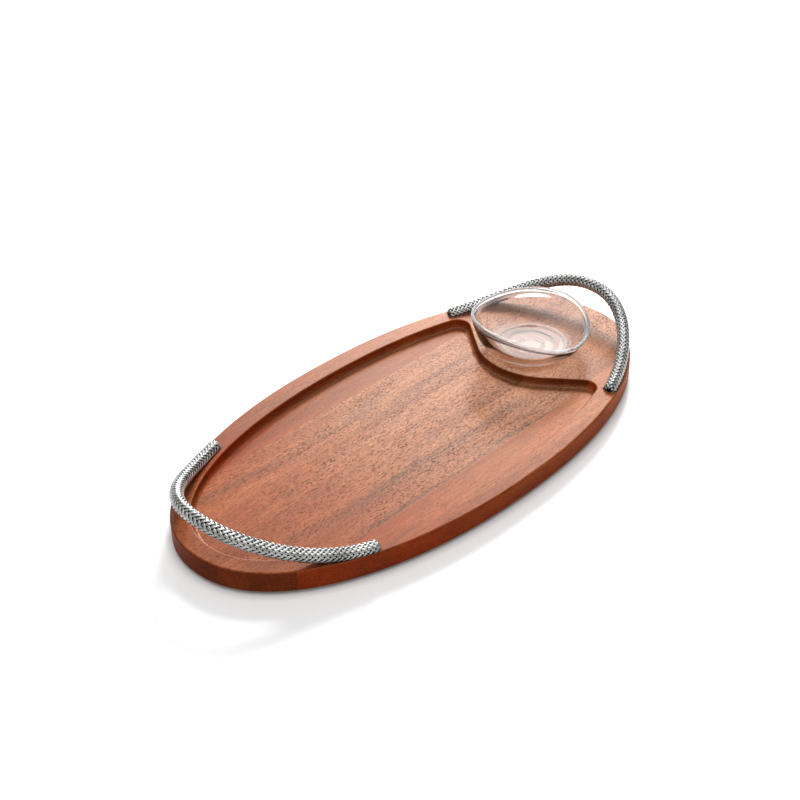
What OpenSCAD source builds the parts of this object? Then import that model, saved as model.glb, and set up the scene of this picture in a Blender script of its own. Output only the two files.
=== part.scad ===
// Chip and dip server: an oval board of edge-glued staves with a shallow
// chip pocket, two metal handles of woven braid over a bent rod, and a
// loose glass dip bowl that stands on the flat platform at the right end.
// Origin: centre of the footprint, on the surface that the feet stand on.
// X runs along the board, towards the bowl. Y runs across it. Z is up.

/* [Board] */
// Length of the board, along the grain
board_length = 540; // [500:5:580]
// Width of the board at its middle
board_width = 266; // [255:1:280]
// Thickness of the board
board_thickness = 20; // [18:1:24]
// Roundness of the oval, 2 is an ellipse and more is squarer
oval_power = 2.155; // [2:0.005:2.4]
// Width of each inner stave
stave_width = 52; // [50:0.5:53]
// Flat segments round the whole oval
oval_segments = 144; // [96:8:192]

/* [Chip pocket] */
// Width of the rim at the ends of the board
rim_at_ends = 17; // [16:0.5:19]
// Width of the rim at the sides of the board
rim_at_sides = 21; // [20:0.5:22]
// Depth of the pocket below the rim
pocket_depth = 8; // [6:0.5:10]
// Where along X the pocket's edge leaves the oval and turns back
ear_start_x = 150; // [140:1:155]
// Radius of the two rounded ears beside the platform
ear_radius = 12.5; // [10:0.5:14]
// Where along X the platform's round front is centred
platform_x = 186; // [182:1:190]
// Radius of the platform's round front
platform_radius = 69; // [66:0.5:72]

/* [Handles] */
// Where along X each end of a handle is cut off square
handle_end_x = 157; // [154:1:165]
// Height of the tube's centre above the board's top at its ends
handle_end_height = 0.2; // [0:0.1:1]
// How far the crown of the handle rises above its ends
handle_rise = 32; // [28:0.5:36]
// How far inside the board's edge the handle's centre line runs
handle_inset = 8.3; // [8.2:0.1:9]
// Diameter of the bent core rod
core_diameter = 9.4; // [9:0.1:9.6]
// Outer diameter of the woven sleeve
braid_diameter = 12.8; // [12.6:0.1:13.2]
// Gap between the core rod and the woven sleeve
braid_gap = 0.05; // [0.03:0.01:0.1]
// Room round the sleeve in its groove in the rim
groove_gap = 0.4; // [0.3:0.1:0.6]
// Rings along each half of a handle
handle_steps = 20; // [16:1:26]
// Flat sides round the tube
tube_sides = 16; // [16:4:20]

/* [Handle screws] */
// Where along X the screws stand
screw_x = 170; // [168:1:174]
// Diameter of the screw's shank
screw_diameter = 4; // [3.5:0.1:4.5]
// Length of the shank, under the head
screw_length = 18; // [17:0.5:19]
// Diameter of the screw's button head
head_diameter = 7.6; // [7:0.1:8]
// Height of the screw's head
head_height = 2.2; // [2:0.1:2.5]
// Width across the flats of the hexagon socket
socket_flats = 2.5; // [2:0.1:3]
// Diameter of the washer
washer_diameter = 10; // [9:0.5:10]
// Thickness of the washer
washer_thickness = 0.8; // [0.6:0.1:1]
// Diameter of the counterbore in the underside
counterbore_diameter = 11; // [11:0.5:12]
// Depth of the counterbore
counterbore_depth = 5; // [5:0.5:6]

/* [Feet] */
// Height of the rubber feet
foot_height = 3; // [2:0.5:4]
// Diameter of the feet where they meet the board
foot_diameter = 14; // [12:1:16]
// Distance between the feet along X
feet_spacing_x = 300; // [280:10:320]
// Distance between the feet along Y
feet_spacing_y = 130; // [120:5:135]

/* [Dip bowl] */
// Where along X the bowl stands
bowl_x = 164.5; // [162:0.5:168]
// Radius of the bowl's thick round base
base_radius = 34; // [32:0.5:36]
// Height of the straight side of the base
base_height = 5; // [4:0.5:6]
// Height of the bowl's inner floor
floor_height = 8; // [7.5:0.5:9]
// Radius of the bowl's inner floor
floor_radius = 28; // [26:0.5:29]
// How far the rim's middle lies from the base's middle, along X
rim_offset = 5.5; // [4:0.5:7]
// Mean radius of the rim
rim_radius = 59; // [56:0.5:61]
// Mean height of the rim
rim_height = 32; // [30:0.5:36]
// How much higher the rim stands on its high side than the mean
rim_tilt = 7.4; // [0:0.1:8]
// Direction of the high side
rim_tilt_angle = 138; // [0:1:360]
// How much the rim waves up and down twice round
rim_wave = 4.5; // [0:0.1:5]
// Direction of one of the two crests of that wave
rim_wave_angle = 6; // [0:1:180]
// How far the rim leans out for each millimetre that it rises
rim_flare = 0.6; // [0:0.05:0.8]
// Thickness of the glass at the rim
glass_thickness = 3.6; // [3:0.1:4]
// Roundness of the bowl's side, less is rounder
side_power = 0.38; // [0.35:0.01:0.5]

/* [Hidden] */

// Heights in the whole object's frame
board_bottom = foot_height;
board_top = foot_height + board_thickness;
pocket_floor = board_top - pocket_depth;

// The oval of the board, and the oval of the pocket inside it
board_a = board_length / 2;
board_b = board_width / 2;
pocket_a = board_a - rim_at_ends;
pocket_b = board_b - rim_at_sides;

// The handles follow the board's oval, inside its edge
handle_a = board_a - handle_inset;
handle_b = board_b - handle_inset;
handle_end_angle = acos(pow(handle_end_x / handle_a, oval_power / 2));
handle_step_angle = handle_end_angle / handle_steps;
handle_end_z = board_top + handle_end_height;
core_radius = core_diameter / 2;
braid_radius = braid_diameter / 2;
braid_bore = core_radius + braid_gap;
groove_radius = braid_radius + groove_gap;
groove_steps = 7;        // rings of the groove that lie below the board's top
groove_end_steps = 0.2; // how far the groove runs past the handle's end

// The screws stand under the handle's centre line
screw_angle = acos(pow(screw_x / handle_a, oval_power / 2));
screw_y = handle_point(screw_angle)[1];
seat_z = board_bottom + counterbore_depth;
head_top_z = seat_z - washer_thickness;
thread_gap = 0.02;
hole_gap = 0.25;
tap_extra = 0.4;
through = 1;             // extra length of a cutter past each face
round_fn = 48;           // segments of the small turned parts

// The bowl
bowl_segments = 48;
bead_radius = glass_thickness / 2;
floor_shift = rim_offset * floor_height / rim_height;

// A point of an oval with half axes a and b, at parameter t in degrees
function oval_point(a, b, t) = [
  a * sign(cos(t)) * pow(abs(cos(t)), 2 / oval_power),
  b * sign(sin(t)) * pow(abs(sin(t)), 2 / oval_power)
];

// The direction, in degrees, that an oval's edge faces at its point p
function oval_facing(a, b, p) = atan2(
  pow(p[1] / b, oval_power - 1) / b,
  pow(p[0] / a, oval_power - 1) / a
);

// Points on an arc from angle a1 to angle a2
function arc_points(centre, r, a1, a2, steps) = [
  for (i = [0:steps])
    let (a = a1 + (a2 - a1) * i / steps)
    centre + r * [cos(a), sin(a)]
];

function mirror_y(points) = [
  for (i = [len(points) - 1:-1:0]) [points[i][0], -points[i][1]]
];

// The rear half of the pocket's outline, from the left tip to the platform's
// front: the oval, the ear, a straight tangent, and the platform's round front
ear_angle = acos(pow(ear_start_x / pocket_a, oval_power / 2));
ear_edge = oval_point(pocket_a, pocket_b, ear_angle);
ear_facing = oval_facing(pocket_a, pocket_b, ear_edge);
ear_centre = ear_edge - ear_radius * [cos(ear_facing), sin(ear_facing)];
ear_to_platform = [platform_x, 0] - ear_centre;
tangent_facing = atan2(ear_to_platform[1], ear_to_platform[0])
  + acos((ear_radius + platform_radius) / norm(ear_to_platform));
pocket_oval_steps = 52;
ear_steps = 14;
platform_steps = 12;
pocket_half = concat(
  [for (i = [0:pocket_oval_steps])
    oval_point(pocket_a, pocket_b,
      180 + (ear_angle - 180) * i / pocket_oval_steps)],
  [for (i = [1:ear_steps])
    let (a = ear_facing + (tangent_facing - ear_facing) * i / ear_steps)
    ear_centre + ear_radius * [cos(a), sin(a)]],
  arc_points([platform_x, 0], platform_radius,
    tangent_facing + 180, 180, platform_steps)
);
pocket_outline = concat(
  pocket_half,
  [for (i = [1:len(pocket_half) - 2]) mirror_y(pocket_half)[i]]
);

// The centre line of the right handle: in plan it follows the oval of the
// board, and from the side it is a parabola that starts level at its ends
function handle_point(t) =
  let (p = oval_point(handle_a, handle_b, t),
       u = (p[0] - handle_end_x) / (handle_a - handle_end_x))
  [p[0], p[1], handle_end_z + handle_rise * u * u];

function unit(v) = v / norm(v);

function handle_direction(t) =
  unit(handle_point(t + 0.2) - handle_point(t - 0.2));

// One ring of tube_sides points, square to the centre line
function handle_ring(t, r) =
  let (along = handle_direction(t),
       side = unit(cross([0, 0, 1], along)),
       up = cross(along, side))
  [for (k = [0:tube_sides - 1])
    let (a = 360 * (k + 0.5) / tube_sides)
    handle_point(t) + r * (cos(a) * side + sin(a) * up)];

// A closed tube through the rings at the given parameters
module handle_tube(angles, r) {
  points = [for (t = angles) each handle_ring(t, r)];
  last = (len(angles) - 1) * tube_sides;
  polyhedron(
    points = points,
    faces = concat(
      [[for (k = [0:tube_sides - 1]) k]],
      [for (i = [0:len(angles) - 2], k = [0:tube_sides - 1])
        let (n = (k + 1) % tube_sides, b = i * tube_sides)
        [b + k, b + tube_sides + k, b + tube_sides + n, b + n]],
      [[for (k = [tube_sides - 1:-1:0]) last + k]]
    ),
    convexity = 6
  );
}

handle_angles = [for (i = [-handle_steps:handle_steps]) i * handle_step_angle];
bore_angles = [
  for (i = [-handle_steps - 1:handle_steps + 1]) i * handle_step_angle
];
rear_groove_angles = concat(
  [for (i = [handle_steps - groove_steps:handle_steps]) i * handle_step_angle],
  [(handle_steps + groove_end_steps) * handle_step_angle]
);

// Puts its children at one end of the board, or mirrors them to the other
module at_end(right) {
  if (right)
    children();
  else
    mirror([1, 0, 0]) children();
}

module at_side(rear) {
  if (rear)
    children();
  else
    mirror([0, 1, 0]) children();
}

module screw_hole(r, z1, z2) {
  translate([screw_x, screw_y, z1])
    cylinder(h = z2 - z1, r = r, $fn = round_fn);
}

// The grooves, screw holes and counterbores at one side of the board
module handle_seats(rear) {
  for (right = [false, true])
    at_end(right)
      at_side(rear) {
        handle_tube(rear_groove_angles, groove_radius);
        screw_hole(screw_diameter / 2 + hole_gap,
          board_bottom - through, handle_end_z);
        screw_hole(counterbore_diameter / 2, board_bottom - through, seat_z);
      }
}

// The board's blank with its pocket, before it is divided into staves
module pocketed_board() {
  difference() {
    translate([0, 0, board_bottom])
      linear_extrude(board_thickness)
        polygon([for (i = [0:oval_segments - 1])
          oval_point(board_a, board_b, 360 * i / oval_segments)]);
    translate([0, 0, pocket_floor])
      linear_extrude(pocket_depth + through)
        polygon(pocket_outline);
  }
}

// A long strip between two glue lines
module strip(y1, y2) {
  translate([-board_a - through, y1, board_bottom - through])
    cube([board_length + 2 * through, y2 - y1,
      board_thickness + 2 * through]);
}

// One of the three middle staves, counted from the board's centre line
module inner_stave(place, shade) {
  color(shade)
    intersection() {
      pocketed_board();
      strip((place - 0.5) * stave_width, (place + 0.5) * stave_width);
    }
}

// One of the two outer staves, which carry the handles
module edge_stave(rear, shade) {
  inner_edge = 1.5 * stave_width;
  color(shade)
    difference() {
      intersection() {
        pocketed_board();
        at_side(rear)
          strip(inner_edge, board_b + through);
      }
      handle_seats(rear);
    }
}

// The bent rod inside a handle, with a tapped hole near each end
module handle_core(right) {
  color("DimGray")
    at_end(right)
      difference() {
        handle_tube(handle_angles, core_radius);
        for (rear = [false, true])
          at_side(rear)
            screw_hole(screw_diameter / 2 + thread_gap,
              board_bottom, head_top_z + screw_length + tap_extra);
      }
}

// The woven sleeve over the rod, as its plain outer shape
module handle_braid(right) {
  color("Silver")
    at_end(right)
      difference() {
        handle_tube(handle_angles, braid_radius);
        handle_tube(bore_angles, braid_bore);
        for (rear = [false, true])
          at_side(rear)
            screw_hole(screw_diameter / 2 + hole_gap,
              board_bottom, handle_end_z);
      }
}

// A button head screw, up through the board into the core rod
module handle_screw(right, rear) {
  color("LightSlateGray")
    at_end(right)
      at_side(rear)
        translate([screw_x, screw_y, head_top_z])
          difference() {
            rotate_extrude($fn = round_fn)
              polygon([
                [0, -head_height],
                [head_diameter / 2 - 1.6, -head_height],
                [head_diameter / 2 - 0.5, -head_height * 0.6],
                [head_diameter / 2, -head_height * 0.15],
                [head_diameter / 2, 0],
                [screw_diameter / 2, 0],
                [screw_diameter / 2, screw_length - 0.5],
                [screw_diameter / 2 - 0.5, screw_length],
                [0, screw_length]
              ]);
            translate([0, 0, -head_height - through])
              cylinder(h = through + head_height * 0.6,
                d = socket_flats / cos(30), $fn = 6);
          }
}

module handle_washer(right, rear) {
  color("Gainsboro")
    at_end(right)
      at_side(rear)
        translate([screw_x, screw_y, head_top_z])
          difference() {
            cylinder(h = washer_thickness, d = washer_diameter,
              $fn = round_fn);
            translate([0, 0, -through])
              cylinder(h = washer_thickness + 2 * through,
                r = screw_diameter / 2 + hole_gap, $fn = round_fn);
          }
}

// A rubber foot, a little narrower where it meets the table
module rubber_foot(right, rear) {
  color("DarkSlateGray")
    at_end(right)
      at_side(rear)
        translate([feet_spacing_x / 2, feet_spacing_y / 2, 0])
          rotate_extrude($fn = round_fn)
            polygon([
              [0, 0],
              [foot_diameter / 2 - 1.5, 0],
              [foot_diameter / 2 - 0.9, 0.25],
              [foot_diameter / 2 - 0.6, 0.8],
              [foot_diameter / 2, foot_height],
              [0, foot_height]
            ]);
}

// Height and radius of the rim's middle, in the direction a
function rim_lift(a) = rim_tilt * cos(a - rim_tilt_angle)
  + rim_wave * cos(2 * (a - rim_wave_angle));
function rim_z(a) = rim_height + rim_lift(a);
function rim_r(a) = rim_radius + rim_flare * rim_lift(a);

// A point of the bowl's side, s is 0 at the bottom and 1 at the rim
function side_point(a, s, r1, z1, r2, z2) = [
  r1 + (r2 - r1) * pow(s, side_power),
  z1 + (z2 - z1) * s
];

// The bowl's cut face in the direction a, as radius and height, from the
// outer edge of its underside, up the outside, over the rim and down inside
side_steps = [0.03, 0.12, 0.3, 0.6, 0.9];
function bowl_section(a) =
  let (r = rim_r(a), z = rim_z(a))
  concat(
    [[base_radius - 1, 0], [base_radius, 1], [base_radius, base_height]],
    [for (s = side_steps)
      side_point(a, s, base_radius, base_height, r + bead_radius, z)],
    [[r + bead_radius, z - bead_radius * 0.4],
     [r + bead_radius * 0.7, z + bead_radius * 0.7],
     [r - bead_radius * 0.7, z + bead_radius * 0.7],
     [r - bead_radius, z - bead_radius * 0.4]],
    [for (i = [len(side_steps) - 1:-1:0])
      side_point(a, side_steps[i],
        floor_radius, floor_height, r - bead_radius, z)],
    [[floor_radius, floor_height]]
  );

// The loose glass dip bowl with its freely waving rim
module dip_bowl() {
  sections = [for (i = [0:bowl_segments - 1])
    let (a = 360 * i / bowl_segments)
    [for (p = bowl_section(a))
      [p[0] * cos(a) + rim_offset * p[1] / rim_height, p[0] * sin(a), p[1]]]];
  rows = len(sections[0]);
  bottom = bowl_segments * rows;
  color("LightCyan", 0.5)
    translate([bowl_x, 0, board_top])
      polyhedron(
        points = concat([for (s = sections) each s],
          [[0, 0, 0], [floor_shift, 0, floor_height]]),
        faces = concat(
          [for (i = [0:bowl_segments - 1], k = [0:rows - 2])
            let (b = i * rows, n = ((i + 1) % bowl_segments) * rows)
            [b + k, b + k + 1, n + k + 1, n + k]],
          [for (i = [0:bowl_segments - 1])
            let (b = i * rows, n = ((i + 1) % bowl_segments) * rows)
            [bottom, b, n]],
          [for (i = [0:bowl_segments - 1])
            let (b = i * rows, n = ((i + 1) % bowl_segments) * rows)
            [bottom + 1, n + rows - 1, b + rows - 1]]
        ),
        convexity = 6
      );
}

edge_stave(false, "Sienna");  // front_edge_stave
inner_stave(-1, "Peru");  // front_inner_stave
inner_stave(0, "IndianRed");  // centre_stave
inner_stave(1, "Peru");  // rear_inner_stave
edge_stave(true, "Sienna");  // rear_edge_stave
handle_core(false);  // left_handle_core
handle_braid(false);  // left_handle_braid
handle_core(true);  // right_handle_core
handle_braid(true);  // right_handle_braid
handle_screw(false, false);  // left_front_screw
handle_screw(false, true);  // left_rear_screw
handle_screw(true, false);  // right_front_screw
handle_screw(true, true);  // right_rear_screw
handle_washer(false, false);  // left_front_washer
handle_washer(false, true);  // left_rear_washer
handle_washer(true, false);  // right_front_washer
handle_washer(true, true);  // right_rear_washer
rubber_foot(false, false);  // left_front_foot
rubber_foot(false, true);  // left_rear_foot
rubber_foot(true, false);  // right_front_foot
rubber_foot(true, true);  // right_rear_foot
dip_bowl();
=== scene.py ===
"""The looks of the chip and dip server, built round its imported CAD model.

Every length is in metres unless a comment says millimetres. X runs along the board towards the bowl, Y across
it to the rear, and Z up, as in the CAD model. For the handles, "s" is the distance along one, and "u" and "v"
are distances across a strand's width and thickness.
"""

import math

import bpy
import numpy as np
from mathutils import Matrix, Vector


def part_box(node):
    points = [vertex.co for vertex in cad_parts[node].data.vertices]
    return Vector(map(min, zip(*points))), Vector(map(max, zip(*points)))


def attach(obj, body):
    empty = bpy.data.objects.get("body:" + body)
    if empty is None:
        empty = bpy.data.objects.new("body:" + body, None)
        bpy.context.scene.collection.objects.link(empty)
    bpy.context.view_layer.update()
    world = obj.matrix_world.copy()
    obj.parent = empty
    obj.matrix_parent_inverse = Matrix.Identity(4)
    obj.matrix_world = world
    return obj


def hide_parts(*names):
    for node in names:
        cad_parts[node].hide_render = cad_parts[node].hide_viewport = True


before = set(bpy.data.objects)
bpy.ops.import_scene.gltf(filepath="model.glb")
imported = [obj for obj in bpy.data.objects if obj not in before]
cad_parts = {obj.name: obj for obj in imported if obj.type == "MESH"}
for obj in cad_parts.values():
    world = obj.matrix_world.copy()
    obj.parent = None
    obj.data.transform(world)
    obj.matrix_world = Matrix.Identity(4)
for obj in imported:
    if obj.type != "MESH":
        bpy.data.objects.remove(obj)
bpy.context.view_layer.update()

MM = 0.001

# ---------------------------------------------------------------- sizes that the frame gives
centre_low, centre_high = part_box("centre_stave")
edge_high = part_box("rear_edge_stave")[1]
screw_low, screw_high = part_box("right_rear_screw")
washer_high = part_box("right_rear_washer")[1]

HALF_LENGTH = centre_high[0]
HALF_WIDTH = edge_high[1]
BOARD_BOTTOM = centre_low[2]
BOARD_TOP = centre_high[2]
STAVE_WIDTH = centre_high[1] - centre_low[1]
SCREW_X = (screw_low[0] + screw_high[0]) / 2
SCREW_Y = (screw_low[1] + screw_high[1]) / 2
SEAT_Z = washer_high[2]

# ---------------------------------------------------------------- sizes of the design, as in the CAD source
OVAL_POWER = 2.155
RIM_AT_ENDS = 17 * MM       # from the board's edge to the pocket's oval, at the ends
RIM_AT_SIDES = 21 * MM      # and at the sides
POCKET_DEPTH = 8 * MM
EAR_START_X = 150 * MM      # where the pocket leaves the oval for its two ears
EAR_RADIUS = 12.5 * MM
PLATFORM_X = 186 * MM       # centre of the bowl platform's round front
PLATFORM_RADIUS = 69 * MM
HANDLE_END_X = 157 * MM
HANDLE_END_HEIGHT = 0.2 * MM
HANDLE_RISE = 32 * MM
HANDLE_INSET = 8.3 * MM
CORE_RADIUS = 4.7 * MM
BRAID_RADIUS = 6.4 * MM
GROOVE_RADIUS = 6.75 * MM
HOLE_RADIUS = 2.25 * MM
COUNTERBORE_RADIUS = 5.5 * MM


# ---------------------------------------------------------------- meshes
def new_object(name, points, faces):
    """A mesh object in the scene, smooth shaded."""
    mesh = bpy.data.meshes.new(name)
    mesh.from_pydata([tuple(map(float, p)) for p in points], [], faces)
    mesh.validate()
    mesh.polygons.foreach_set("use_smooth", [True] * len(mesh.polygons))
    piece = bpy.data.objects.new(name, mesh)
    bpy.context.scene.collection.objects.link(piece)
    return piece


def tube_faces(rings, sides):
    """Faces of a tube with closed ends. Its points are rings of the same number of sides, in order."""
    faces = []
    for ring in range(rings - 1):
        for side in range(sides):
            after = (side + 1) % sides
            low = ring * sides
            faces.append((low + side, low + after, low + sides + after, low + sides + side))
    faces.append(tuple(range(sides - 1, -1, -1)))
    faces.append(tuple((rings - 1) * sides + side for side in range(sides)))
    return faces


def stack(name, outline, levels):
    """A solid whose level sections are the outline moved inwards by each level's inset."""
    before = np.roll(outline, 1, axis=0)
    after = np.roll(outline, -1, axis=0)
    along = after - before
    along /= np.linalg.norm(along, axis=1)[:, None]
    inwards = np.stack([-along[:, 1], along[:, 0]], axis=1)
    rings = [np.column_stack([outline + inset * inwards, np.full(len(outline), z)]) for inset, z in levels]
    return new_object(name, np.concatenate(rings), tube_faces(len(levels), len(outline)))


def evaluated_mesh(piece):
    """The piece's mesh with its modifiers applied."""
    graph = bpy.context.evaluated_depsgraph_get()
    result = piece.evaluated_get(graph)
    return bpy.data.meshes.new_from_object(result, preserve_all_data_layers=True, depsgraph=graph)


def apply_modifiers(piece):
    """Makes the piece's modifiers a lasting part of its mesh."""
    mesh = evaluated_mesh(piece)
    piece.modifiers.clear()
    piece.data = mesh


def cut(piece, cutter, operation="DIFFERENCE"):
    """Cuts one closed mesh with another, and removes the cutter."""
    change = piece.modifiers.new("cut", "BOOLEAN")
    change.operation = operation
    change.solver = "EXACT"
    change.object = cutter
    apply_modifiers(piece)
    bpy.data.objects.remove(cutter)


def flat_faces_keep_flat(piece):
    """Sharp corners stay sharp, and roundings run out into flat faces without shading them."""
    piece.data.set_sharp_from_angle(angle=math.radians(32))
    change = piece.modifiers.new("normals", "WEIGHTED_NORMAL")
    change.keep_sharp = True
    change.weight = 100
    apply_modifiers(piece)


# ---------------------------------------------------------------- the board's outlines
OUTLINE_POINTS = 720        # points round the board, and as many round the pocket


def oval(half_length, half_width, turn):
    """Points of the oval at the parameter turn, in radians, each as X and Y."""
    c = np.cos(turn)
    s = np.sin(turn)
    x = half_length * np.sign(c) * np.abs(c) ** (2 / OVAL_POWER)
    y = half_width * np.sign(s) * np.abs(s) ** (2 / OVAL_POWER)
    return np.stack([x, y], axis=-1)


def even(outline, count):
    """The closed outline with its points set at even distances."""
    closed = np.vstack([outline, outline[:1]])
    step = np.linalg.norm(np.diff(closed, axis=0), axis=1)
    along = np.concatenate([[0], np.cumsum(step)])
    places = np.arange(count) * along[-1] / count
    return np.stack([np.interp(places, along, closed[:, k]) for k in range(2)], axis=1)


def arc(centre, radius, start, end, steps):
    """Points along an arc, from one turn to another."""
    turns = np.linspace(start, end, steps)
    return centre + radius * np.stack([np.cos(turns), np.sin(turns)], axis=1)


def pocket_outline():
    """The oval pocket, its two ears, and the round front of the platform between them."""
    a = HALF_LENGTH - RIM_AT_ENDS
    b = HALF_WIDTH - RIM_AT_SIDES
    ear_turn = math.acos((EAR_START_X / a) ** (OVAL_POWER / 2))
    edge = oval(a, b, ear_turn)
    slope = [(edge[0] / a) ** (OVAL_POWER - 1) / a, (edge[1] / b) ** (OVAL_POWER - 1) / b]
    facing = math.atan2(slope[1], slope[0])
    ear = edge - EAR_RADIUS * np.array([math.cos(facing), math.sin(facing)])
    platform = np.array([PLATFORM_X, 0.0])
    gap = platform - ear
    tangent = math.atan2(gap[1], gap[0])
    tangent += math.acos((EAR_RADIUS + PLATFORM_RADIUS) / np.linalg.norm(gap))
    rear = np.concatenate([
        oval(a, b, np.linspace(math.pi, ear_turn, 700)),
        arc(ear, EAR_RADIUS, facing, tangent, 60)[1:],
        arc(platform, PLATFORM_RADIUS, tangent + math.pi, math.pi, 120),
    ])
    front = rear[::-1][1:-1] * [1, -1]
    return even(np.concatenate([rear, front])[::-1], OUTLINE_POINTS)


# ---------------------------------------------------------------- the handles' curve
class HandleCurve:
    """The centre line of the right handle, with its side and up directions, by distance along it."""

    def __init__(self):
        a = HALF_LENGTH - HANDLE_INSET
        b = HALF_WIDTH - HANDLE_INSET
        end_turn = math.acos((HANDLE_END_X / a) ** (OVAL_POWER / 2))
        margin = math.radians(4)        # the line goes on a little past both ends, for the grooves
        turns = np.linspace(-end_turn - margin, end_turn + margin, 2401)
        plan = oval(a, b, turns)
        rise = (plan[:, 0] - HANDLE_END_X) / (a - HANDLE_END_X)
        height = BOARD_TOP + HANDLE_END_HEIGHT + HANDLE_RISE * rise ** 2
        self.points = np.column_stack([plan, height])
        along = np.gradient(self.points, axis=0)
        along /= np.linalg.norm(along, axis=1)[:, None]
        self.side = np.cross([0.0, 0.0, 1.0], along)
        self.side /= np.linalg.norm(self.side, axis=1)[:, None]
        self.up = np.cross(along, self.side)
        steps = np.linalg.norm(np.diff(self.points, axis=0), axis=1)
        self.s = np.concatenate([[0], np.cumsum(steps)])
        start, end = np.interp([-end_turn, end_turn], turns, self.s)
        self.s -= start
        self.length = end - start

    def at(self, s, angle, radius):
        """Points at distance s along the curve, out by the radius in the direction angle."""
        def pick(rows):
            return np.stack([np.interp(s, self.s, rows[:, k]) for k in range(3)], axis=-1)
        outwards = np.cos(angle)[..., None] * pick(self.side) + np.sin(angle)[..., None] * pick(self.up)
        return pick(self.points) + np.asarray(radius)[..., None] * outwards


END_LENGTH = 4.0 * MM       # stretch at each end where the weave closes round the rod's end
END_OPENING = 0.4           # part of the radius that is left at its very end
END_STATIONS = 10           # sections in that stretch

curve = HandleCurve()


def end_steps(length):
    """Distances from 0 to the length, close together at first, for an end that rounds off."""
    return length * (1 - np.cos(np.linspace(0, math.pi / 2, END_STATIONS)))


def mirrored_faces(faces):
    """The same faces for mirrored points, so that they still look outwards."""
    return [tuple(reversed(face)) for face in faces]


def stations_along(step):
    """Distances along a handle, the step apart, and closer where its ends round off."""
    end = end_steps(END_LENGTH)
    middle = np.linspace(END_LENGTH, curve.length - END_LENGTH, int(curve.length / step))
    return np.concatenate([end, middle[1:-1], curve.length - end[::-1]])


def end_rounding(s):
    """1 along a handle, falling round a quarter ellipse to END_OPENING at both its ends."""
    from_end = np.clip(np.minimum(s, curve.length - s) / END_LENGTH, 0, 1)
    return END_OPENING + (1 - END_OPENING) * np.sqrt(1 - (1 - from_end) ** 2)


def handle_sweep(stations, radii, sides):
    """Rings round the right handle's centre line, one for each station and its radius."""
    angles = 2 * math.pi * np.arange(sides) / sides
    s = np.repeat(stations, sides)
    r = np.repeat(radii, sides)
    return curve.at(s, np.tile(angles, len(stations)), r)


# ---------------------------------------------------------------- board
EDGE_TOP = 2.2 * MM         # radii of the board's roundings
EDGE_BOTTOM = 1.5 * MM
POCKET_COVE = 5 * MM        # radius between the pocket's wall and its floor
POCKET_LIP = 1.4 * MM       # and between the wall and the board's top
ROUND_STEPS = 8
PAST = 5 * MM               # how far a cutting shape reaches past the board
GROOVE_LENGTH = 54 * MM
GROOVE_SIDES = 48
DRILL_SIDES = 64


def quarter(part=1.0):
    """Angles from 0 to a part of a right angle, for the sections of a rounding."""
    return [part * math.pi / 2 * k / ROUND_STEPS for k in range(ROUND_STEPS + 1)]


def board_blank():
    """The board before anything is cut out of it."""
    outline = even(oval(HALF_LENGTH, HALF_WIDTH, np.linspace(0, 2 * math.pi, 2881)[:-1]), OUTLINE_POINTS)
    levels = []
    for t in quarter():
        levels.append((EDGE_BOTTOM * (1 - math.sin(t)), BOARD_BOTTOM + EDGE_BOTTOM * (1 - math.cos(t))))
    for t in quarter():
        levels.append((EDGE_TOP * (1 - math.cos(t)), BOARD_TOP - EDGE_TOP * (1 - math.sin(t))))
    return stack("board", outline, levels)


def pocket_cutter():
    """The pocket's own shape, with the cove at its foot and the lip at its top."""
    floor = BOARD_TOP - POCKET_DEPTH
    lip = BOARD_TOP - POCKET_LIP
    levels = []
    for t in quarter():
        levels.append((POCKET_COVE * (1 - math.sin(t)), floor + POCKET_COVE * (1 - math.cos(t))))
    for t in quarter(part=0.95):
        levels.append((-POCKET_LIP * (1 - math.cos(t)), lip + POCKET_LIP * math.sin(t)))
    levels.append((levels[-1][0], BOARD_TOP + 2 * MM))
    return stack("pocket", pocket_outline(), levels)


def groove_cutter(side_x, side_y):
    """The groove that a handle's end lies in, rounded as that end is."""
    gap = GROOVE_RADIUS - BRAID_RADIUS
    from_end = end_steps(END_LENGTH + gap)
    plain = np.linspace(GROOVE_LENGTH, 2 * from_end[-1], 25)
    stations = curve.length + gap - np.concatenate([plain, from_end[::-1]])
    radii = np.full(len(stations), GROOVE_RADIUS)
    at_end = np.clip(stations[-END_STATIONS:] - gap, 0, curve.length)
    radii[-END_STATIONS:] = gap + BRAID_RADIUS * end_rounding(at_end)
    points = handle_sweep(stations, radii, GROOVE_SIDES) * [side_x, side_y, 1]
    faces = tube_faces(len(stations), GROOVE_SIDES)
    if side_x * side_y < 0:
        faces = mirrored_faces(faces)
    return new_object("groove", points, faces)


def drill(x, y, radius, high):
    """A round bar that comes up through the board's underside."""
    turns = 2 * math.pi * np.arange(DRILL_SIDES) / DRILL_SIDES
    ring = np.stack([x + radius * np.cos(turns), y + radius * np.sin(turns)], axis=1)
    ends = [np.column_stack([ring, np.full(DRILL_SIDES, z)]) for z in (BOARD_BOTTOM - 1 * MM, high)]
    return new_object("drill", np.concatenate(ends), tube_faces(2, DRILL_SIDES))


def strip(low, high):
    """A box that keeps the board between two glue lines."""
    end = HALF_LENGTH + PAST
    ring = [(-end, low), (end, low), (end, high), (-end, high)]
    points = [(x, y, z) for z in (BOARD_BOTTOM - PAST, BOARD_TOP + PAST) for x, y in ring]
    return new_object("strip", points, tube_faces(2, 4))


# Places across the board, from its middle
STAVE_PLACES = {
    "front_edge_stave": -2,
    "front_inner_stave": -1,
    "centre_stave": 0,
    "rear_inner_stave": 1,
    "rear_edge_stave": 2,
}
OUTERMOST = 2


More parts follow.
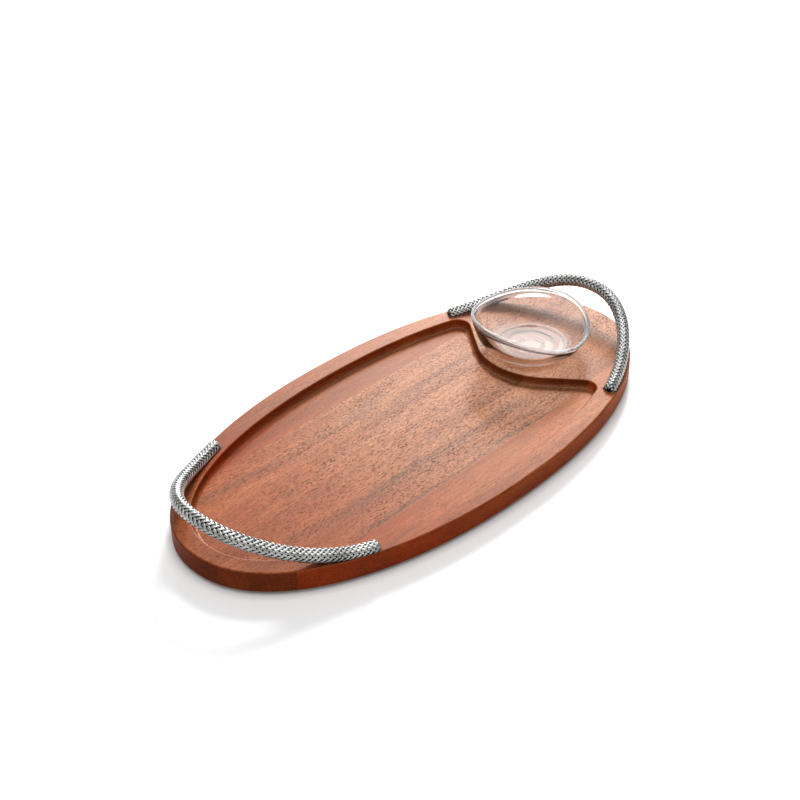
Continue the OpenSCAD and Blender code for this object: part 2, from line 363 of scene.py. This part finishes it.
def fit_handle_ends(stave, side_y):
    """Cuts the grooves, screw holes and counterbores of both handles into an edge stave."""
    for side_x in (-1, 1):
        x = side_x * SCREW_X
        y = side_y * SCREW_Y
        cut(stave, groove_cutter(side_x, side_y))
        cut(stave, drill(x, y, HOLE_RADIUS, BOARD_TOP))
        cut(stave, drill(x, y, COUNTERBORE_RADIUS, SEAT_Z))


def build_staves():
    """The whole board, cut along its glue lines into one object for each stave."""
    board = board_blank()
    cut(board, pocket_cutter())
    staves = {}
    for node, place in STAVE_PLACES.items():
        stave = board.copy()
        stave.data = board.data.copy()
        stave.name = stave.data.name = node + "_wood"
        bpy.context.scene.collection.objects.link(stave)
        low = (place - 0.5) * STAVE_WIDTH
        high = (place + 0.5) * STAVE_WIDTH
        if place == -OUTERMOST:
            low = -HALF_WIDTH - PAST
        if place == OUTERMOST:
            high = HALF_WIDTH + PAST
        cut(stave, strip(low, high), "INTERSECT")
        if abs(place) == OUTERMOST:
            fit_handle_ends(stave, place // OUTERMOST)
        flat_faces_keep_flat(stave)
        staves[node] = stave
    bpy.data.objects.remove(board)
    return staves


# ---------------------------------------------------------------- braid
STRANDS = 8                 # strands that wind each way
STRAND_PITCH = 5.0 * MM     # distance along the handle from one strand to the next
STRAND_WIDTH = 2.15 * MM
STRAND_THICKNESS = 0.7 * MM
STRAND_LIFT = 0.48 * MM     # how far a strand rises or dips from the middle of the weave
STRAND_STEP = 0.8 * MM      # distance along the handle from one section of a strand to the next
STRAND_SIDES = 10
STRAND_SNAP = 2.2           # how quickly a strand changes from over to under
STRAND_SQUARENESS = 0.75    # 1 is a round edge, less is squarer
CORE_STEP = 2 * MM
CORE_SIDES = 40


def weave_height(angle):
    """From 1, over, to -1, under, for the strands that wind forwards. Each goes over two and under two."""
    wave = np.sin((angle + math.pi / (2 * STRANDS)) * STRANDS / 2)
    return np.tanh(STRAND_SNAP * wave) / math.tanh(STRAND_SNAP)


def strand_section():
    """The strand's cross-section, as distances across its width and its thickness."""
    turns = 2 * math.pi * (np.arange(STRAND_SIDES) + 0.5) / STRAND_SIDES
    c = np.cos(turns)
    s = np.sin(turns)
    u = STRAND_WIDTH / 2 * np.sign(c) * np.abs(c) ** STRAND_SQUARENESS
    v = STRAND_THICKNESS / 2 * np.sign(s) * np.abs(s) ** STRAND_SQUARENESS
    return u, v


def braid(name, side_x):
    """A sleeve of flat strands that really pass over and under each other."""
    middle = BRAID_RADIUS - STRAND_THICKNESS / 2 - STRAND_LIFT
    lead = STRANDS * STRAND_PITCH
    slope = math.atan2(2 * math.pi * middle, lead)
    u, v = strand_section()
    stations = stations_along(STRAND_STEP)
    closing = end_rounding(stations)
    points = []
    faces = []
    for way in (1, -1):
        for strand in range(STRANDS):
            angle = 2 * math.pi * (strand / STRANDS + way * stations / lead)
            height = (middle + STRAND_LIFT * way * weave_height(angle)) * closing
            s = stations[:, None] - way * u * math.sin(slope) * closing[:, None]
            s = np.clip(s, 0, curve.length)
            turn = angle[:, None] + u * math.cos(slope) / middle
            ring = curve.at(s, turn, height[:, None] + v)
            strand_faces = tube_faces(len(stations), STRAND_SIDES)
            if side_x > 0:
                strand_faces = mirrored_faces(strand_faces)
            first = len(points) * len(stations) * STRAND_SIDES
            points.append(ring.reshape(-1, 3) * [side_x, 1, 1])
            faces += [tuple(first + k for k in face) for face in strand_faces]
    return new_object(name, np.concatenate(points), faces)


def core_rod(name, side_x):
    """The bent rod under the weave, with rounded ends."""
    stations = stations_along(CORE_STEP)
    radii = CORE_RADIUS * end_rounding(stations)
    points = handle_sweep(stations, radii, CORE_SIDES) * [side_x, 1, 1]
    faces = tube_faces(len(stations), CORE_SIDES)
    if side_x < 0:
        faces = mirrored_faces(faces)
    return new_object(name, points, faces)


# ---------------------------------------------------------------- glass bowl
BOWL_X = 164.5 * MM
# From here to BEAD_DROP in millimetres and degrees, and as far as SIDE_POWER as in the CAD source
BASE_RADIUS = 34.0
BASE_HEIGHT = 5.0
FLOOR_HEIGHT = 8.0
FLOOR_RADIUS = 28.0
RIM_OFFSET = 5.5            # how far the bowl leans towards the right end by the rim's height
RIM_RADIUS = 59.0
RIM_HEIGHT = 32.0
RIM_TILT = 7.4              # the rim rises by this much in one direction and falls in the opposite one
RIM_TILT_ANGLE = 138
RIM_WAVE = 4.5              # and rises by this much in two opposite directions and falls between them
RIM_WAVE_ANGLE = 6
RIM_FLARE = 0.6             # the rim's radius grows by this for each millimetre that it rises
GLASS_THICKNESS = 3.6
SIDE_POWER = 0.38           # smaller makes the side bulge out lower down
# The stepped underside and the foot, and then the inner floor, with each point as its radius and height
UNDERSIDE = [(0.5, 1.8), (11, 1.8), (13, 1.0), (21, 1.0), (24, 0.8), (27, 0.1), (32.6, 0.05), (33.8, 0.6),
             (34, 2), (34, 4)]
INNER_FLOOR = [(27, 7.9), (20, 7.7), (11, 7.5), (0.5, 7.5)]
SIDE_STEPS = (0.012, 0.05, 0.12, 0.22, 0.36, 0.52, 0.7, 0.86)      # places up the side, from 0 to 1
BEAD_EXTRA = 0.1            # the rim's bead has a radius of half the glass's thickness and this much more,
BEAD_DROP = 0.3             # and is this much lower than the rim's height
BOWL_SEGMENTS = 192
UNDERSIDE_ROWS = range(0, 38)         # rows of faces of the finished bowl, in order along its section
BEAD_ROWS = range(70, 108)


def smoothed(rows, passes):
    """Cuts the corners of an open line again and again, and keeps its two ends."""
    for _ in range(passes):
        quarter_on = 0.75 * rows[:-1] + 0.25 * rows[1:]
        three_on = 0.25 * rows[:-1] + 0.75 * rows[1:]
        middle = np.stack([quarter_on, three_on], axis=1).reshape(-1, rows.shape[1])
        rows = np.vstack([rows[:1], middle[1:-1], rows[-1:]])
    return rows


def bowl_section(direction):
    """The cut face of the bowl in one direction, in millimetres, from under its centre to its inner floor."""
    lift = RIM_TILT * math.cos(direction - math.radians(RIM_TILT_ANGLE))
    lift += RIM_WAVE * math.cos(2 * (direction - math.radians(RIM_WAVE_ANGLE)))
    rim_r = RIM_RADIUS + RIM_FLARE * lift
    rim_z = RIM_HEIGHT + lift
    half = GLASS_THICKNESS / 2
    bead = half + BEAD_EXTRA
    rows = list(UNDERSIDE)
    for s in SIDE_STEPS:
        rows.append((BASE_RADIUS + (rim_r + half - BASE_RADIUS) * s ** SIDE_POWER,
                     BASE_HEIGHT + (rim_z - BASE_HEIGHT) * s))
    for turn in np.linspace(-0.25, 1.25, 9) * math.pi:
        rows.append((rim_r + bead * math.cos(turn), rim_z + bead * math.sin(turn) - BEAD_DROP))
    for s in reversed(SIDE_STEPS):
        rows.append((FLOOR_RADIUS + (rim_r - half - FLOOR_RADIUS) * s ** SIDE_POWER,
                     FLOOR_HEIGHT + (rim_z - FLOOR_HEIGHT) * s))
    rows += INNER_FLOOR
    return smoothed(np.array(rows), 2)


def glass_bowl(name):
    """The bowl, as its section in every direction, joined up and closed at its centre."""
    directions = 2 * math.pi * np.arange(BOWL_SEGMENTS) / BOWL_SEGMENTS
    rings = []
    for direction in directions:
        section = bowl_section(direction) * MM
        lean = RIM_OFFSET / RIM_HEIGHT * section[:, 1]
        rings.append(np.column_stack([
            BOWL_X + lean + section[:, 0] * math.cos(direction),
            section[:, 0] * math.sin(direction),
            BOARD_TOP + section[:, 1],
        ]))
    points = np.stack(rings, axis=1).reshape(-1, 3)
    return new_object(name, points, tube_faces(len(rings[0]), BOWL_SEGMENTS))


# ---------------------------------------------------------------- materials
# The places of a Mix node's sockets for colours
MIX_FACTOR, MIX_A, MIX_B = 0, 6, 7
MIX_RESULT = 2


def srgb(red, green, blue):
    """A colour given in screen values from 0 to 255, as Blender's linear colour."""
    def linear(value):
        value /= 255
        return value / 12.92 if value <= 0.04045 else ((value + 0.055) / 1.055) ** 2.4
    return (linear(red), linear(green), linear(blue), 1.0)


def add_node(tree, kind, inputs=(), **settings):
    """A new node in the tree, with the values of some of its inputs and its settings."""
    node = tree.nodes.new(kind)
    for key, value in settings.items():
        setattr(node, key, value)
    for socket, value in dict(inputs).items():
        node.inputs[socket].default_value = value
    return node


class Shader:
    """A node material that ends in one Principled shader."""

    def __init__(self, name, **constants):
        self.material = bpy.data.materials.new(name)
        self.material.use_nodes = True
        self.tree = self.material.node_tree
        self.tree.nodes.clear()
        self.output = self.add("ShaderNodeOutputMaterial")
        self.surface = self.add("ShaderNodeBsdfPrincipled")
        self.join(self.surface, "BSDF", self.output, "Surface")
        for socket, value in constants.items():
            self.surface.inputs[socket.replace("_", " ")].default_value = value

    def add(self, kind, inputs=(), **settings):
        return add_node(self.tree, kind, inputs, **settings)

    def join(self, source, output, target, socket):
        self.tree.links.new(source.outputs[output], target.inputs[socket])

    def math(self, operation, a, b=0.0, clamp=False):
        """A Math node on two values, each a number or a pair of node and output."""
        node = self.add("ShaderNodeMath", operation=operation, use_clamp=clamp)
        for socket, value in enumerate((a, b)):
            if isinstance(value, tuple):
                self.join(value[0], value[1], node, socket)
            else:
                node.inputs[socket].default_value = value
        return node, "Value"

    def blend(self, mode, amount, a, b):
        """A colour Mix node. amount is a number or a pair, and a and b are colours or pairs."""
        node = self.add("ShaderNodeMix", data_type="RGBA", blend_type=mode)
        for socket, value in ((MIX_FACTOR, amount), (MIX_A, a), (MIX_B, b)):
            if isinstance(value, tuple) and isinstance(value[0], bpy.types.Node):
                self.join(value[0], value[1], node, socket)
            else:
                node.inputs[socket].default_value = value
        return node, MIX_RESULT

    def noise(self, scale, offset=(0, 0, 0), detail=2.0, roughness=0.5, turn=0.0, distortion=0.0):
        """Noise on the object's own coordinates, with its scale for each axis in waves a metre."""
        place = self.add("ShaderNodeTexCoord")
        mapping = self.add("ShaderNodeMapping", {
            "Scale": scale, "Location": offset, "Rotation": (0, 0, turn)})
        self.join(place, "Object", mapping, "Vector")
        texture = self.add("ShaderNodeTexNoise", {
            "Scale": 1.0, "Detail": detail, "Roughness": roughness, "Distortion": distortion})
        self.join(mapping, "Vector", texture, "Vector")
        return texture, "Fac"

    def split(self, kind, output):
        """The X, Y and Z of another node's output."""
        parts = self.add("ShaderNodeSeparateXYZ")
        self.join(self.add(kind), output, parts, "Vector")
        return parts

    def ramp(self, source, stops):
        """A colour ramp from a list of (place, colour)."""
        node = self.add("ShaderNodeValToRGB")
        elements = node.color_ramp.elements
        while len(elements) < len(stops):
            elements.new(0.5)
        for element, (place, colour) in zip(elements, stops):
            element.position = place
            element.color = colour
        self.join(source[0], source[1], node, "Fac")
        return node, "Color"

    def fade(self, source, low, high, start=0.0, end=1.0):
        """Turns the source's range low to high into start to end, smoothly, and stops there."""
        node = self.add("ShaderNodeMapRange", {
            "From Min": low, "From Max": high, "To Min": start, "To Max": end,
        }, interpolation_type="SMOOTHSTEP")
        self.join(source[0], source[1], node, "Value")
        return node, "Result"

    def bump(self, height, strength, distance):
        node = self.add("ShaderNodeBump", {"Strength": strength, "Distance": distance})
        self.join(height[0], height[1], node, "Height")
        self.join(node, "Normal", self.surface, "Normal")

    def drive(self, source, socket):
        self.join(source[0], source[1], self.surface, socket)


def streak_mask(shader, wobble, streak):
    """A soft dark streak along the grain. Its middle, its half width and its ends are in millimetres."""
    middle, half_width, start, end, strength = streak
    place = shader.split("ShaderNodeTexCoord", "Object")
    off = shader.math("ADD", (place, "Y"), wobble)
    off = shader.math("ABSOLUTE", shader.math("SUBTRACT", off, middle * MM))
    mask = shader.fade(off, 0.0, half_width * MM, strength, 0.0)
    centre = (start + end) / 2 * MM
    reach = (end - start) / 2 * MM
    from_centre = shader.math("ABSOLUTE", shader.math("SUBTRACT", (place, "X"), centre))
    length = shader.fade(from_centre, reach - STREAK_FADE, reach, 1.0, 0.0)
    return shader.math("MULTIPLY", mask, length)


def streak_darkness(shader, offset, streaks):
    """How much of the dark colour all the streaks add. They wander sideways and are smoky within."""
    drift = shader.noise((5, 9, 9), [k + 5.0 for k in offset], detail=2)
    wobble = shader.fade(drift, 0.2, 0.8, -9 * MM, 9 * MM)
    smoke = shader.noise((7, 130, 130), [k + 7.3 for k in offset], detail=3, roughness=0.6)
    smoke = shader.fade(smoke, 0.3, 0.6, 0.35, 1.0)
    darkness = 0.0
    for streak in streaks:
        darkness = shader.math("ADD", streak_mask(shader, wobble, streak), darkness, clamp=True)
    return shader.math("MULTIPLY", darkness, smoke)


def wood(name, offset, turn, tones, wall_painted_shade, speckle, streaks):
    """Oiled reddish brown wood with its grain along X.

    tones are its dark, middle and light colours; what they are multiplied by on walls is a painted shade that
    makes the walls darker and redder, and a painted shade also makes the wood darker and redder towards the
    left end.
    speckle says how strong its pores are. offset and turn give each stave a grain of its own.
    """
    shader = Shader(name, Coat_Roughness=0.3)
    shader.surface.inputs["Specular IOR Level"].default_value = 0.1
    bands = shader.noise((2.4, 34, 34), offset, detail=3, roughness=0.6, turn=turn, distortion=0.4)
    colour = shader.ramp(bands, [(0.32, tones[0]), (0.5, tones[1]), (0.68, tones[2])])
    colour = shader.blend("MIX", streak_darkness(shader, offset, streaks), colour, STREAK_TONE)

    fibres = shader.noise((60, 900, 900), offset, detail=3, roughness=0.7)
    colour = shader.blend("MULTIPLY", 1.0, colour, shader.fade(fibres, 0.3, 0.7, 0.76, 1.2))
    specks = shader.noise((330, 1150, 1150), offset, detail=1.0)
    patches = shader.noise((12, 40, 40), [k + 11.0 for k in offset], detail=2)
    patches = shader.fade(patches, 0.3, 0.65, 0.6 * speckle, speckle)
    place = shader.split("ShaderNodeTexCoord", "Object")
    fewer_pores = shader.fade((place, "X"), -200 * MM, -60 * MM, 0.65, 1.0)
    patches = shader.math("MULTIPLY", patches, fewer_pores)
    # Painted shade: the wood is made darker and redder towards the left end, standing in for the sheen that
    # is lost there.
    left_end_painted_shade = shader.fade((place, "X"), -170 * MM, 0.0, 1.0, 0.0)
    colour = shader.blend("MULTIPLY", left_end_painted_shade, colour, LEFT_END_PAINTED_SHADE)
    light_specks = shader.math("MULTIPLY", shader.fade(specks, 0.46, 0.34), patches)
    colour = shader.blend("MULTIPLY", light_specks, colour, SPECK_TONE)
    pores = shader.math("MULTIPLY", shader.fade(specks, 0.53, 0.66), patches)
    colour = shader.blend("MULTIPLY", pores, colour, PORE_TONE)

    facing = shader.split("ShaderNodeNewGeometry", "Normal")
    flatness = shader.math("ABSOLUTE", (facing, "Z"))
    # Painted shade: steep faces, the outer side walls and the pocket's walls, are made darker and redder.
    colour = shader.blend("MULTIPLY", shader.fade(flatness, 1.0, 0.45), colour, wall_painted_shade)
    shader.drive(colour, "Base Color")
    polish = shader.fade(flatness, 0.75, 1.0, 0.08, 0.8)
    shader.drive(shader.math("MULTIPLY", polish, shader.fade(pores, 0.0, 1.0, 1.0, 0.3)), "Coat Weight")
    shader.drive(shader.fade(fibres, 0.3, 0.7, 0.4, 0.52), "Roughness")
    height = shader.math("SUBTRACT", shader.math("MULTIPLY", fibres, 0.5), pores)
    shader.bump(height, 0.35, 0.15 * MM)
    return shader.material


def woven_metal(name):
    """Bright flat wire for the handles' strands."""
    shader = Shader(name, Metallic=1.0)
    scratches = shader.noise((900, 900, 900), detail=3, roughness=0.6)
    shader.drive(shader.fade(scratches, 0.3, 0.7, 0.15, 0.3), "Roughness")
    tarnish = shader.noise((60, 60, 60), detail=3)
    tones = [(0.35, srgb(166, 167, 166)), (0.65, srgb(204, 204, 202))]
    shader.drive(shader.ramp(tarnish, tones), "Base Color")
    shader.bump(scratches, 0.1, 0.05 * MM)
    return shader.material


def dark_metal(name):
    """The rod under the weave, painted nearly black as shade between the strands."""
    shader = Shader(name, Metallic=0.8, Roughness=0.5)
    core_tone_noise = shader.noise((200, 200, 200), detail=3)
    # Painted shade: the rod's near-black colour stands in for the shade between the strands.
    shader.drive(shader.ramp(core_tone_noise, [(0.3, srgb(16, 14, 13)), (0.7, srgb(30, 27, 25))]), "Base Color")
    shader.drive(shader.fade(core_tone_noise, 0.3, 0.7, 0.45, 0.65), "Roughness")
    return shader.material


def turned_metal(name, dark, light):
    """Plain steel with fine marks round Z."""
    shader = Shader(name, Metallic=1.0, Roughness=0.3)
    brushing = shader.noise((500, 500, 2600), detail=3, roughness=0.6)
    shader.drive(shader.ramp(brushing, [(0.3, dark), (0.7, light)]), "Base Color")
    shader.drive(shader.fade(brushing, 0.3, 0.7, 0.25, 0.42), "Roughness")
    shader.bump(brushing, 0.15, 0.05 * MM)
    return shader.material


def rubber(name):
    """Matt black rubber with a little dust."""
    shader = Shader(name, Roughness=0.7)
    dust = shader.noise((400, 400, 400), detail=4, roughness=0.6)
    shader.drive(shader.ramp(dust, [(0.35, srgb(28, 27, 26)), (0.7, srgb(52, 50, 48))]), "Base Color")
    shader.drive(shader.fade(dust, 0.3, 0.7, 0.6, 0.85), "Roughness")
    shader.bump(dust, 0.2, 0.1 * MM)
    return shader.material


def glass(name, clearness):
    """Glass that lets lamplight straight through. Its clearness is from 0, milky, to 1."""
    shader = Shader(name, Base_Color=(0.975, 0.98, 0.99, 1.0), Roughness=0.0, IOR=1.5,
                    Transmission_Weight=clearness)
    ripples = shader.noise((18, 18, 18), detail=1)
    shader.bump(ripples, 0.05, 1.5 * MM)
    ray = shader.add("ShaderNodeLightPath")
    through = shader.add("ShaderNodeBsdfTransparent", {"Color": (0.9, 0.9, 0.9, 1.0)})
    either = shader.add("ShaderNodeMixShader")
    lamplight = shader.math("MAXIMUM", (ray, "Is Shadow Ray"), (ray, "Is Diffuse Ray"))
    shader.join(lamplight[0], lamplight[1], either, "Fac")
    shader.join(shader.surface, "BSDF", either, 1)
    shader.join(through, "BSDF", either, 2)
    shader.join(either, "Shader", shader.output, "Surface")
    return shader.material


def white_table(name):
    """White gloss. For the camera alone its shadows are lifted, except close to what stands on it."""
    shader = Shader(name, Roughness=0.25, Emission_Color=(1.0, 1.0, 1.0, 1.0))
    shader.surface.inputs["Specular IOR Level"].default_value = 0.35
    ray = shader.add("ShaderNodeLightPath")
    openness = shader.add("ShaderNodeAmbientOcclusion", {"Distance": TABLE_CONTACT}, samples=8)
    lift = shader.fade((openness, "AO"), 0.25, 1.0, TABLE_CONTACT_LIFT, TABLE_LIFT)
    shader.drive(shader.math("MULTIPLY", (ray, "Is Camera Ray"), lift), "Emission Strength")
    dimming = shader.math("MULTIPLY", (ray, "Is Camera Ray"), TABLE_DIMMING)
    shader.drive(shader.math("SUBTRACT", TABLE_WHITE, dimming), "Base Color")
    return shader.material


# ---------------------------------------------------------------- pieces
def dress(piece, material):
    """Gives the whole piece one material."""
    piece.data.materials.clear()
    piece.data.materials.append(material)


def put(piece, material, body, node):
    """Puts a finished piece on its body, in place of its node of the CAD model."""
    dress(piece, material)
    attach(piece, body)
    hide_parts(node)


# The dark, middle and light colours of the edge staves and of the three between them
WARM = (srgb(134, 76, 42), srgb(150, 89, 51), srgb(164, 104, 65))
PALE = (srgb(140, 89, 57), srgb(156, 104, 70), srgb(171, 119, 84))
STREAK_TONE = srgb(104, 80, 64)
STREAK_FADE = 50 * MM       # length over which a streak comes and goes
# What those colours are multiplied by: towards the left end, a painted shade that makes them darker and
# redder; in pores and pale specks; and on the walls of the edge staves and of the others, in that order
# below, a painted shade that makes them darker and redder.
LEFT_END_PAINTED_SHADE = (1.0, 0.76, 0.63, 1.0)
PORE_TONE = (0.36, 0.25, 0.2, 1.0)
SPECK_TONE = (1.25, 1.25, 1.25, 1.0)
# Painted shade on the walls of the edge staves and of the others: darker and redder.
SIDE_WALL_PAINTED_SHADE = (1.15, 0.74, 0.36, 1.0)
INNER_WALL_PAINTED_SHADE = (0.68, 0.45, 0.24, 1.0)

# Each streak is its middle, half width, start and end in millimetres, and its strength
WOOD_LOOKS = {
    "front_edge_stave": dict(
        offset=(0.0, 0.0, 0.0), turn=0.01, tones=WARM, wall_painted_shade=SIDE_WALL_PAINTED_SHADE, speckle=0.45,
        streaks=[(-104, 7, -240, -90, 0.5)]),
    "front_inner_stave": dict(
        offset=(3.0, 1.7, 0.4), turn=-0.008, tones=PALE, wall_painted_shade=INNER_WALL_PAINTED_SHADE, speckle=1.0,
        streaks=[(-42, 12, -240, 120, 0.45), (-74, 6, -170, 160, 0.7), (-60, 5, -60, 250, 0.25)]),
    "centre_stave": dict(
        offset=(5.5, 4.1, 2.2), turn=0.006, tones=PALE, wall_painted_shade=INNER_WALL_PAINTED_SHADE, speckle=1.0,
        streaks=[(-6, 7, -230, -60, 0.35), (14, 7, -200, 60, 0.3), (-16, 6, 20, 250, 0.25)]),
    "rear_inner_stave": dict(
        offset=(1.2, 8.3, 5.0), turn=-0.01, tones=PALE, wall_painted_shade=INNER_WALL_PAINTED_SHADE, speckle=1.0,
        streaks=[(58, 11, -260, 40, 0.5), (40, 7, -20, 200, 0.35)]),
    "rear_edge_stave": dict(
        offset=(9.1, 2.6, 7.7), turn=0.01, tones=WARM, wall_painted_shade=SIDE_WALL_PAINTED_SHADE, speckle=0.45,
        streaks=[(100, 6, 60, 240, 0.3), (112, 16, -260, 110, 0.35)]),
}


def make_board():
    for node, stave in build_staves().items():
        put(stave, wood(node + "_grain", **WOOD_LOOKS[node]), "board", node)


def make_handles():
    metal = woven_metal("bright_woven_metal")
    rod = dark_metal("core_metal_painted_shade")
    for end, side_x in (("left", -1), ("right", 1)):
        put(braid(end + "_braid_strands", side_x), metal, "board", end + "_handle_braid")
        put(core_rod(end + "_core_rod", side_x), rod, "board", end + "_handle_core")


def make_bowl():
    """The bowl is clear glass. Its bead round the rim and its underside are made a little milky, a painted
    brightness that stands in for light reflected and refracted in them.
    """
    bowl = glass_bowl("glass_dip_bowl")
    put(bowl, glass("clear_bowl_glass", 1.0), "bowl", "dip_bowl")
    # Painted brightness: milky glass on the bead and the underside stands in for light they reflect and
    # refract.
    bowl.data.materials.append(glass("rim_glass_painted_brightness", 0.8))
    bowl.data.materials.append(glass("underside_glass_painted_brightness", 0.85))
    clear, bright, underside_painted_bright = range(3)
    for face in bowl.data.polygons:
        row = face.index // BOWL_SEGMENTS
        face.material_index = clear
        if row in BEAD_ROWS:
            face.material_index = bright
        if row in UNDERSIDE_ROWS:
            face.material_index = underside_painted_bright


def finish_hardware():
    """The screws, washers and feet keep their CAD shapes."""
    looks = {
        "_screw": turned_metal("screw_metal", srgb(120, 120, 122), srgb(176, 176, 178)),
        "_washer": turned_metal("washer_metal", srgb(150, 150, 150), srgb(196, 196, 194)),
        "_foot": rubber("foot_rubber_black"),
    }
    for name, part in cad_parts.items():
        for ending, material in looks.items():
            if name.endswith(ending):
                dress(part, material)


# ---------------------------------------------------------------- stage, lights and camera
TABLE_HALF_WIDTH = 6.0
TABLE_WHITE = 0.93
TABLE_LIFT = 0.5            # how much light the table gives off towards the camera
TABLE_DIMMING = 0.38        # and how much less of its lamplight it sends there
TABLE_CONTACT = 12 * MM     # from things nearer than this it gives off less,
TABLE_CONTACT_LIFT = 0.12   # down to this much

# How bright the white surroundings are for matt surfaces, in satin ones, and in sharp reflections and glass.
# Each lobe is a brighter area: its azimuth, elevation, inner and outer radius in degrees, and its strength.
FILL_STRENGTH = 0.24
SATIN_STRENGTH = 0.7
SATIN_LOBES = [(129.5, 26.5, 5.5, 16, 6.4), (133, 3, 4, 15, 4.5), (0, 90, 15, 45, 1.4)]
MIRROR_STRENGTH = 1.1
MIRROR_LOBES = [(128, 33, 4, 18, 2.4)]

# The view of the camera, which is aimed at the middle of the board's underside
CAMERA_AZIMUTH = -46.75
CAMERA_ELEVATION = 35.85
CAMERA_DISTANCE = 1.378
LENS = 65.85                # in millimetres, on a sensor of 36
LENS_SHIFT = (-0.022, 0.0437)
VIEW_GAMMA = 0.82


def aim(thing, target):
    """Turns a lamp or the camera to face a point."""
    thing.rotation_euler = (Vector(target) - thing.location).to_track_quat("-Z", "Y").to_euler()


def direction(azimuth, elevation):
    """Azimuth 0 is on the front side, and 90 on the right, as in the CAD views."""
    a = math.radians(azimuth)
    e = math.radians(elevation)
    return Vector((math.sin(a) * math.cos(e), -math.cos(a) * math.cos(e), math.sin(e)))


def softbox(name, azimuth, elevation, distance, size, power):
    """A lamp for matt surfaces. Reflections and glass show the world's own bright areas instead."""
    lamp = bpy.data.lights.new(name, "AREA")
    lamp.shape = "RECTANGLE"
    lamp.size, lamp.size_y = size
    lamp.energy = power
    box = bpy.data.objects.new(name, lamp)
    box.location = direction(azimuth, elevation) * distance
    box.visible_glossy = False
    box.visible_transmission = False
    bpy.context.scene.collection.objects.link(box)
    aim(box, (0, 0, 0))


def world_brightness(tree, facing, general, lobes):
    """The general strength plus every lobe's own, as an output socket."""
    total = add_node(tree, "ShaderNodeValue").outputs["Value"]
    total.default_value = general
    for azimuth, elevation, inner, outer, strength in lobes:
        dot = add_node(tree, "ShaderNodeVectorMath", {1: direction(azimuth, elevation)},
                       operation="DOT_PRODUCT")
        tree.links.new(facing, dot.inputs[0])
        lobe = add_node(tree, "ShaderNodeMapRange", {
            "From Min": math.cos(math.radians(outer)),
            "From Max": math.cos(math.radians(inner)),
            "To Max": strength,
        }, interpolation_type="SMOOTHSTEP")
        tree.links.new(dot.outputs["Value"], lobe.inputs["Value"])
        both = add_node(tree, "ShaderNodeMath", operation="ADD")
        tree.links.new(total, both.inputs[0])
        tree.links.new(lobe.outputs["Result"], both.inputs[1])
        total = both.outputs["Value"]
    return total


def switch(tree, flag, off, on):
    """The first strength, or the second one for rays with the flag."""
    chosen = add_node(tree, "ShaderNodeMapRange")
    tree.links.new(flag, chosen.inputs["Value"])
    tree.links.new(off, chosen.inputs["To Min"])
    tree.links.new(on, chosen.inputs["To Max"])
    return chosen.outputs["Result"]


def make_world():
    """A white studio. It fills the shadows a little, and reflections show its own bright areas."""
    world = bpy.data.worlds.new("studio")
    bpy.context.scene.world = world
    world.use_nodes = True
    tree = world.node_tree
    facing = add_node(tree, "ShaderNodeTexCoord").outputs["Generated"]
    ray = add_node(tree, "ShaderNodeLightPath")
    satin = world_brightness(tree, facing, SATIN_STRENGTH, SATIN_LOBES)
    mirror = world_brightness(tree, facing, MIRROR_STRENGTH, MIRROR_LOBES)
    fill = world_brightness(tree, facing, FILL_STRENGTH, [])
    strength = switch(tree, ray.outputs["Is Singular Ray"], satin, mirror)
    strength = switch(tree, ray.outputs["Is Diffuse Ray"], strength, fill)
    background = tree.nodes["Background"]
    background.inputs["Color"].default_value = (1.0, 1.0, 1.0, 1.0)
    tree.links.new(strength, background.inputs["Strength"])


def make_stage():
    """The table, the lamps and the surroundings."""
    side = TABLE_HALF_WIDTH
    corners = [(-side, -side, 0), (side, -side, 0), (side, side, 0), (-side, side, 0)]
    table = new_object("table", corners, [(0, 1, 2, 3)])
    dress(table, white_table("white_table_gloss"))
    softbox("key_softbox", azimuth=128, elevation=35, distance=2.2, size=(0.6, 0.5), power=72)
    softbox("top_softbox", azimuth=-55, elevation=62, distance=2.0, size=(1.6, 1.6), power=15)
    make_world()
    view = bpy.context.scene.view_settings
    view.view_transform = "Standard"
    view.gamma = VIEW_GAMMA


def make_camera():
    lens = bpy.data.cameras.new("camera")
    lens.sensor_width = 36
    lens.lens = LENS
    lens.shift_x, lens.shift_y = LENS_SHIFT
    camera = bpy.data.objects.new("camera", lens)
    target = Vector((0, 0, BOARD_BOTTOM))
    camera.location = target + direction(CAMERA_AZIMUTH, CAMERA_ELEVATION) * CAMERA_DISTANCE
    bpy.context.scene.collection.objects.link(camera)
    aim(camera, target)
    bpy.context.scene.camera = camera


make_camera()
make_stage()
make_board()
make_handles()
make_bowl()
finish_hardware()
